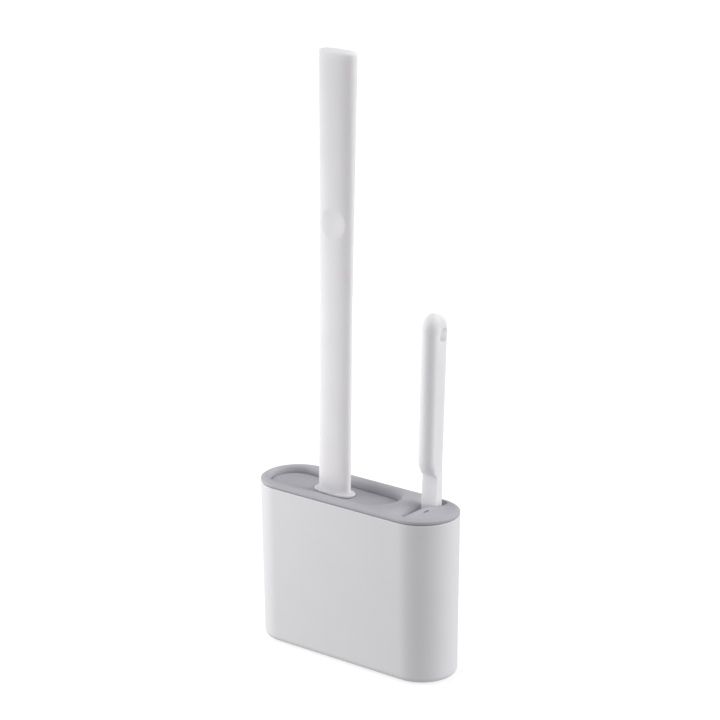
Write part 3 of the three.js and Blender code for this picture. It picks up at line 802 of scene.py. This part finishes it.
def build_spine():
    """The stiff core: a socket for the handle's stem, and a blade that carries the soft head."""
    low, high = leaned_box("long_brush_spine", LONG_LEAN)
    socket = {"length": SOCKET["length"], "width": high.y - low.y}
    socket_low = high.z - SOCKET["depth"]
    taper = grown(socket, -SOCKET["taper"])
    narrow = grown(socket, -GROOVES["depth"])
    sections = [(taper, socket_low), (socket, socket_low + SOCKET["taper_height"])]
    for height in GROOVES["heights"]:
        z = socket_low + height
        sections += [(socket, z - GROOVES["reach"]), (narrow, z - GROOVES["floor"])]
        sections += [(narrow, z + GROOVES["floor"]), (socket, z + GROOVES["reach"])]
    rings = [ring(size, z, LONG_X) for size, z in sections]
    rings += rounded_top(high.z, SPINE_EDGE, socket, LONG_X)
    spine = loft("long_brush_core", rings)
    half = BLADE["width"] / 2
    blade_top = socket_low + CUT
    outline = rounded_outline(LONG_X - half, LONG_X + half, low.z, blade_top, BLADE["round"])
    spine = add(spine, extruded("blade", outline, BLADE["thickness"], BLADE["edge"]))
    spine.data.transform(LONG_LEAN)
    return spine


def rounded_outline(left, right, low, high, low_round, high_round=None):
    """Points (x, z) of an upright rectangle with round corners, round from its low right corner."""
    high_round = low_round if high_round is None else high_round
    centres = [
        (right - low_round, low + low_round, low_round, -0.5),
        (right - high_round, high - high_round, high_round, 0.0),
        (left + high_round, high - high_round, high_round, 0.5),
        (left + low_round, low + low_round, low_round, 1.0),
    ]
    return corner_points(centres, ROUND_STEPS // 3)


def inward(points):
    """Unit normals that point into a closed outline of counterclockwise points."""
    normals = []
    count = len(points)
    for i, (x, z) in enumerate(points):
        before, after = points[i - 1], points[(i + 1) % count]
        along = Vector((after[0] - before[0], after[1] - before[1]))
        normals.append(Vector((-along.y, along.x)).normalized())
    return normals


def extruded(name, outline, thickness, edge):
    """A plate in the XZ plane, centred on Y = 0, with a round rim."""
    placed = list(zip(outline, inward(outline)))
    half = thickness / 2
    rings = []
    for side in (-1, 1):
        levels = []
        for angle in quarter_turn(FINE_STEPS):
            y = side * (half - edge * (1 - math.cos(angle)))
            by = edge * (1 - math.sin(angle))
            levels.append([Vector((x + n.x * by, y, z + n.y * by)) for (x, z), n in placed])
        rings += levels if side < 0 else reversed(levels)
    return loft(name, rings)


finished(build_spine(), "long_brush", ["long_brush_spine"], "white_plastic", white_plastic)


def within(outline, x, z):
    """Even-odd test of a point against a closed outline."""
    found = False
    for (ax, az), (bx, bz) in zip(outline, outline[1:] + outline[:1]):
        if (az > z) != (bz > z) and x < ax + (z - az) / (bz - az) * (bx - ax):
            found = not found
    return found


def spike_rings(root, direction, length, bend):
    """Rings of a soft tapered spike with a round tip that leans a little by bend."""
    across = direction.orthogonal().normalized()
    other = direction.cross(across)
    turn = [2 * math.pi * k / SPIKE["sides"] for k in range(SPIKE["sides"])]
    rings = []
    for along, share in SPIKE_PROFILE:
        centre = root + direction * length * along + bend * along * along
        radius = SPIKE["root"] * share
        rings.append([centre + (across * math.cos(a) + other * math.sin(a)) * radius for a in turn])
    return rings


def spikes_of_head(outline, low, high):
    """Roots and directions of the spikes: staggered rows on both faces and a fan round the rim."""
    normals = inward(outline)
    margin, pitch = SPIKE_FIELD["margin"], SPIKE_FIELD["pitch"]
    field = [(x + n.x * margin, z + n.y * margin) for (x, z), n in zip(outline, normals)]
    face = HEAD_THICKNESS / 2 - SPIKE["sunk"]
    places = []
    row = 0
    z = low.z + margin
    while z < high.z - margin:
        x = LONG_X - SPIKE_FIELD["half_width"] + (row % 2) * pitch / 2
        while x < LONG_X + SPIKE_FIELD["half_width"]:
            if within(field, x, z):
                places += [(Vector((x, side * face, z)), Vector((0, side, 0))) for side in (-1, 1)]
            x += pitch
        z += pitch * SPIKE_FIELD["row_share"]
        row += 1
    for (x, z), n in list(zip(outline, normals))[:: SPIKE_FIELD["rim_step"]]:
        if z < low.z + HEAD_ROUND["bottom"]:
            places.append((Vector((x + n.x, 0, z + n.y)), Vector((-n.x, 0, -n.y))))
    return places


def build_head():
    """The soft flat head: a pad with a round rim and flexible tapered spikes."""
    low, high = leaned_box("long_brush_head", LONG_LEAN)
    pad_low = high.z - HEAD_HEIGHT
    left, right = LONG_X - HEAD_HALF_WIDTH, LONG_X + HEAD_HALF_WIDTH
    rounds = (HEAD_ROUND["bottom"], HEAD_ROUND["top"])
    outline = rounded_outline(left, right, pad_low, high.z, *rounds)
    pad = extruded("long_brush_soft_head", outline, HEAD_THICKNESS, HEAD_EDGE)
    chance = random.Random(5)
    vertices, faces = [], []
    pad_box_low = Vector((low.x, low.y, pad_low))
    for root, direction in spikes_of_head(outline, pad_box_low, high):
        bend = Vector([chance.uniform(-SPIKE["bend"], SPIKE["bend"]) for _ in range(3)])
        length = SPIKE["length"] if abs(direction.y) > 0.5 else SPIKE["rim_length"]
        append_loft(vertices, faces, spike_rings(root, direction, length, bend))
    spikes = make("spikes", vertices, faces)
    merge(pad, spikes)
    pad.data.transform(LONG_LEAN)
    return pad


finished(build_head(), "long_brush", ["long_brush_head"], "soft_rubber", soft_rubber)

# ---- Small brush ----

small_low, small_high = leaned_box("small_brush_handle", SMALL_LEAN)
SMALL_X = (small_low.x + small_high.x) / 2
SMALL_RIM = small_high.z - SMALL_ABOVE_RIM
NECK_FRONT = small_high.y - NECK["depth"]
GRIP_FRONT = small_low.y + GRIP_SWELL
BLOCK_FRONT = NECK_FRONT + BLOCK_SETBACK


def bezier(a, b, c, d, steps):
    """Points of a cubic curve after its first one."""
    points = []
    for step in range(1, steps + 1):
        t = step / steps
        u = 1 - t
        weights = (u * u * u, 3 * u * u * t, 3 * u * t * t, t * t * t)
        points.append(tuple(sum(w * p[i] for w, p in zip(weights, (a, b, c, d))) for i in (0, 1)))
    return points


def straight_to(start, end, steps):
    """Points of a straight line after its first one."""
    shares = [step / steps for step in range(1, steps + 1)]
    return [tuple(start[i] + (end[i] - start[i]) * t for i in (0, 1)) for t in shares]


def small_side_view():
    """The small handle's side view as points (y, z), round from the front of its lower end.

    The last argument of each line or curve is its number of chords.
    """
    back, top_front = small_high.y, small_low.y
    low, top = small_low.z, small_high.z
    step_z = SMALL_RIM + STEP_HEIGHT
    points = [(BLOCK_FRONT, low + CHIN)]
    points += straight_to(points[-1], (BLOCK_FRONT, SMALL_RIM + BLOCK_TOP), 4)
    points += straight_to(points[-1], (NECK_FRONT, SMALL_RIM + BLOCK_TOP + CHIN), 3)
    points += straight_to(points[-1], (NECK_FRONT, step_z), 8)
    lower = (NECK_FRONT - CHIN_CURVE["forward"] * CHIN, step_z + CHIN_CURVE["up"] * CHIN)
    upper, end = (GRIP_FRONT, step_z + CHIN), (GRIP_FRONT, step_z + CHIN_CURVE["end"] * CHIN)
    points += bezier(points[-1], lower, upper, end, 20)
    dome_z = top - TOP_DOME["height"]
    points += straight_to(points[-1], (top_front, dome_z), 20)
    peak_y = top_front + TOP_DOME["front"]
    height = TOP_DOME["height"] + TOP_DOME["rise"]
    for step in range(1, TOP_DOME["chords"] + 1):
        angle = math.pi * (1 - step / TOP_DOME["chords"])
        reach = peak_y - top_front if angle > math.pi / 2 else back - peak_y
        points.append((peak_y + reach * math.cos(angle), dome_z + height * math.sin(angle)))
    points += straight_to(points[-1], (back, low + CHIN), 30)
    middle = (BLOCK_FRONT + back) / 2
    rise, pull = HEEL["rise"], HEEL["pull"]
    points += bezier(points[-1], (back, low + rise), (middle + pull, low), (middle, low), 8)
    points += bezier(points[-1], (middle - pull, low), (BLOCK_FRONT, low + rise), points[0], 8)
    return points[:-1]


def edge_of_handle(z, outward, half):
    """How far the edge rounding reaches across, and how deep, for a point of the side view.

    Outward is 1 on the front, 0 on the top and -1 on the back: the grip's front is a half oval that
    carries on over the top, its back and the neck are flat with small edges.
    """
    share = clamped((z - SMALL_RIM - STEP_HEIGHT + 1) / CHIN)
    share = share * share * (3 - 2 * share)
    if outward > 0:
        weight = TOP_SHARE + (1 - TOP_SHARE) * outward
    else:
        weight = TOP_SHARE * (1 + outward)
    across = BACK_EDGE + (half - SIDE_FLAT - BACK_EDGE) * weight
    up = clamped((z - SMALL_RIM - STEP_HEIGHT) / (SMALL_ABOVE_RIM - STEP_HEIGHT))
    nose = NOSE_DEPTH["chin"] + (NOSE_DEPTH["top"] - NOSE_DEPTH["chin"]) * up
    depth = BACK_EDGE + (nose - BACK_EDGE) * weight
    across = NECK["round"] + (across - NECK["round"]) * share
    return across, NECK["crown"] + (depth - NECK["crown"]) * share


def half_width(z):
    """Half the small handle's width at a height: it is a little wider toward the rim."""
    share = clamped((z - SMALL_RIM) / SMALL_ABOVE_RIM)
    packed = (small_high.x - small_low.x) / 2
    return packed + WIDENING["rim"] + (WIDENING["top"] - WIDENING["rim"]) * share


def build_small_handle():
    """The small brush's handle, neck and bristle block in one piece, with the hanging hole."""
    outline = list(reversed(small_side_view()))
    normals = inward(outline)
    rings = []
    for side in (-1, 1):
        levels = []
        for angle in quarter_turn(2 * FINE_STEPS):
            points = []
            for (y, z), n in zip(outline, normals):
                half = half_width(z)
                across, crown = edge_of_handle(z, n.x, half)
                x = SMALL_X + side * (half - across * (1 - math.cos(angle)))
                by = crown * (1 - math.sin(angle))
                points.append(Vector((x, y + n.x * by, z + n.y * by)))
            levels.append(points)
        rings += levels if side < 0 else reversed(levels)
    handle = loft("small_brush_grip", rings)
    handle = cut(handle, hanging_hole(half_width(small_high.z)))
    handle.data.transform(SMALL_LEAN)
    return handle


def hanging_hole(half):
    """An upright stadium through the handle, opened out a little at both faces."""
    centre_y = (small_low.y + GRIP_SWELL + small_high.y) / 2 + HANG["setback"]
    centre_z = small_high.z - HANG["drop"]
    edge = HANG["edge"]
    levels = [(-half - CUT, edge + CUT), (-half + edge, 0)]
    levels += [(half - edge, 0), (half + CUT, edge + CUT)]
    rings = []
    for x, by in levels:
        size = {"length": HANG["height"] + 2 * by, "width": HANG["width"] + 2 * by}
        rings.append([Vector((SMALL_X + x, centre_y + p.y, centre_z + p.x)) for p in ring(size, 0)])
    return loft("hole", rings)


small_grip = build_small_handle()
small_look = ("white_plastic", small_grip_plastic, HANDLE_ANGLE)
finished(small_grip, "small_brush", ["small_brush_handle"], *small_look)


def build_small_lid():
    """The plate in front of the neck, level with the cover, with a ramp down to the bridge."""
    left, right = SLOT["left"] + SMALL_LID["left_gap"], SLOT["right"]
    low = RIM_HEIGHT - LEDGE_DROP + SMALL_LID["lift"]
    high = RIM_HEIGHT - SMALL_LID["drop"]
    start = (right, high)
    end = (left, RIM_HEIGHT - SMALL_LID["left_drop"])
    knee = (left + RAMP["width"], RIM_HEIGHT - RAMP["drop"])
    one = tuple(start[i] + (knee[i] - start[i]) * RAMP["pull"] for i in (0, 1))
    two = tuple(end[i] + (knee[i] - end[i]) * RAMP["pull"] for i in (0, 1))
    outline = [(left, low), (right, low), start] + bezier(start, one, two, end, 24)
    ends = (SLOT["front"], SMALL_LID["back"])
    rings = [[Vector((slanted(x, y), y, z)) for x, z in outline] for y in ends]
    lid = loft("small_brush_lid_plate", rings)
    levels = (low - CUT, high + CUT)
    lid = common(lid, loft("plan", [plan_ring(z, -LID_FIT) for z in levels]))
    rim_x = (SMALL_LEAN @ Vector((SMALL_X, 0, SMALL_RIM))).x
    neck_right = rim_x + half_width(SMALL_RIM) + NECK_CLEARANCE["side"]
    neck_left, y = rim_x - NECK_ROOM, NECK_FRONT - NECK_CLEARANCE["front"]
    corners = [(neck_left, y), (neck_right, y)]
    corners += [(neck_right, y + NECK_ROOM), (neck_left, y + NECK_ROOM)]
    for name, plan in (("neck_room", corners), ("notch", LID_NOTCH)):
        lid = cut(lid, loft(name, [[Vector((cx, cy, z)) for cx, cy in plan] for z in levels]))
    return lid


# The small lid gets the lighter grey with the painted highlight.
finished(build_small_lid(), "small_brush", ["small_brush_lid"], "grey_plastic", painted_highlight_small_lid_grey)


def build_tuft(node, chance):
    """A bundle of fine filaments that spread a little toward their tips."""
    low, high = leaned_box(node, SMALL_LEAN)
    centre = (low + high) / 2
    length = high.y - low.y
    turn = [-2 * math.pi * k / FILAMENT["sides"] for k in range(FILAMENT["sides"])]
    vertices, faces = [], []
    for _ in range(TUFT["filaments"]):
        angle, share = chance.uniform(0, 2 * math.pi), math.sqrt(chance.random())
        out = Vector((math.cos(angle), 0, math.sin(angle))) * share
        shorter = chance.uniform(0, TUFT["shorter"])
        reach = TUFT["sway"]
        sway = Vector((chance.uniform(-reach, reach), 0, chance.uniform(-reach, reach)))
        rings = []
        for step in range(FILAMENT["steps"]):
            along = step / (FILAMENT["steps"] - 1)
            spread = TUFT["root"] + (TUFT["tip"] - TUFT["root"]) * along * along
            y = high.y - (length - shorter) * along
            middle = Vector((centre.x, y, centre.z)) + out * spread + sway * along * along
            radius = FILAMENT["radius"] * (1 - FILAMENT["taper"] * along)
            rings.append([middle + Vector((math.cos(a), 0, math.sin(a))) * radius for a in turn])
        append_loft(vertices, faces, rings)
    return make(node.replace("tuft", "filaments"), vertices, faces, SMALL_LEAN)


tuft_chance = random.Random(11)
for tuft_node in sorted(n for n in frame["nodes"] if "tuft" in n):
    tuft = build_tuft(tuft_node, tuft_chance)
    finished(tuft, "small_brush", [tuft_node], "bristle_nylon", bristle_nylon, FILAMENT_ANGLE)

# ---- Camera, light and floor ----


def place_camera():
    """The photograph's view: from the front right, a little above the rim."""
    azimuth, elevation, roll = (CAMERA_TURN[key] for key in ("azimuth", "elevation", "roll"))
    right = Vector((math.cos(azimuth), math.sin(azimuth), 0))
    level = math.cos(elevation)
    forward = Vector((-math.sin(azimuth) * level, math.cos(azimuth) * level, -math.sin(elevation)))
    up = right.cross(forward)
    turned_right = right * math.cos(roll) + up * math.sin(roll)
    turned_up = up * math.cos(roll) - right * math.sin(roll)
    camera = bpy.data.objects.new("camera", bpy.data.cameras.new("camera"))
    bpy.context.scene.collection.objects.link(camera)
    axes = Matrix((turned_right, turned_up, -forward)).transposed().to_4x4()
    camera.matrix_world = Matrix.Translation(Vector(CAMERA_PLACE)) @ axes
    camera.data.sensor_width = SENSOR_WIDTH
    camera.data.lens = LENS
    bpy.context.scene.camera = camera


def build_floor():
    """A pale, faintly glowing light-table floor, wide enough to fill every view."""
    corners = [Vector((x, y, 0)) for x, y in ((-1, -1), (1, -1), (1, 1), (-1, 1))]
    floor = make("floor", [c * FLOOR_REACH for c in corners], [(0, 1, 2, 3)])
    made = Shader("floor_paper")
    made.link(made.ramp(made.noise(FLOOR_NOISE), *FLOOR_GREYS), made.shader, "Base Color")
    made.shader.inputs["Roughness"].default_value = FLOOR_ROUGHNESS
    made.shader.inputs["Specular IOR Level"].default_value = FLOOR_SPECULAR
    made.shader.inputs["Emission Color"].default_value = (1, 1, 1, 1)
    made.shader.inputs["Emission Strength"].default_value = FLOOR_GLOW
    floor.data.materials.append(made.material)
    floor.visible_diffuse = False
    floor.visible_glossy = False


def aimed_light(data, azimuth, elevation, distance):
    """Places a light by direction, azimuth 0 being the front, and aims it at the object."""
    a, e = math.radians(azimuth), math.radians(elevation)
    away = Vector((math.sin(a) * math.cos(e), -math.cos(a) * math.cos(e), math.sin(e)))
    light = bpy.data.objects.new(data.name, data)
    bpy.context.scene.collection.objects.link(light)
    light.location = Vector((0, 0, AIM_HEIGHT)) + away * distance
    light.rotation_mode = "QUATERNION"
    light.rotation_quaternion = away.to_track_quat("Z", "Y")
    light.visible_camera = False


def wall_of_light(name, azimuth, elevation, strength):
    """A far, very large and soft light."""
    data = bpy.data.lights.new(name, "SUN")
    data.energy = strength
    data.angle = WALL_SPREAD
    aimed_light(data, azimuth, elevation, WALL_DISTANCE)


def softbox(name, azimuth, elevation, distance, width, height, energy):
    """A near rectangular light."""
    data = bpy.data.lights.new(name, "AREA")
    data.shape = "RECTANGLE"
    data.size, data.size_y = width, height
    data.energy = energy
    aimed_light(data, azimuth, elevation, distance)


def light_studio():
    """An even white world, two far soft lights and one near one at the left."""
    world = bpy.data.worlds.new("studio")
    world.use_nodes = True
    background = world.node_tree.nodes["Background"]
    background.inputs["Color"].default_value = (1, 1, 1, 1)
    background.inputs["Strength"].default_value = WORLD_LIGHT
    bpy.context.scene.world = world
    wall_of_light("right_wall", azimuth=129, elevation=25, strength=1.8)
    wall_of_light("left_high_wall", azimuth=-50, elevation=55, strength=0.94)
    softbox("left_softbox", -60, -9, distance=0.6, width=0.45, height=0.3, energy=2.05)
    bpy.context.scene.view_settings.view_transform = "Standard"


place_camera()
build_floor()
light_studio()
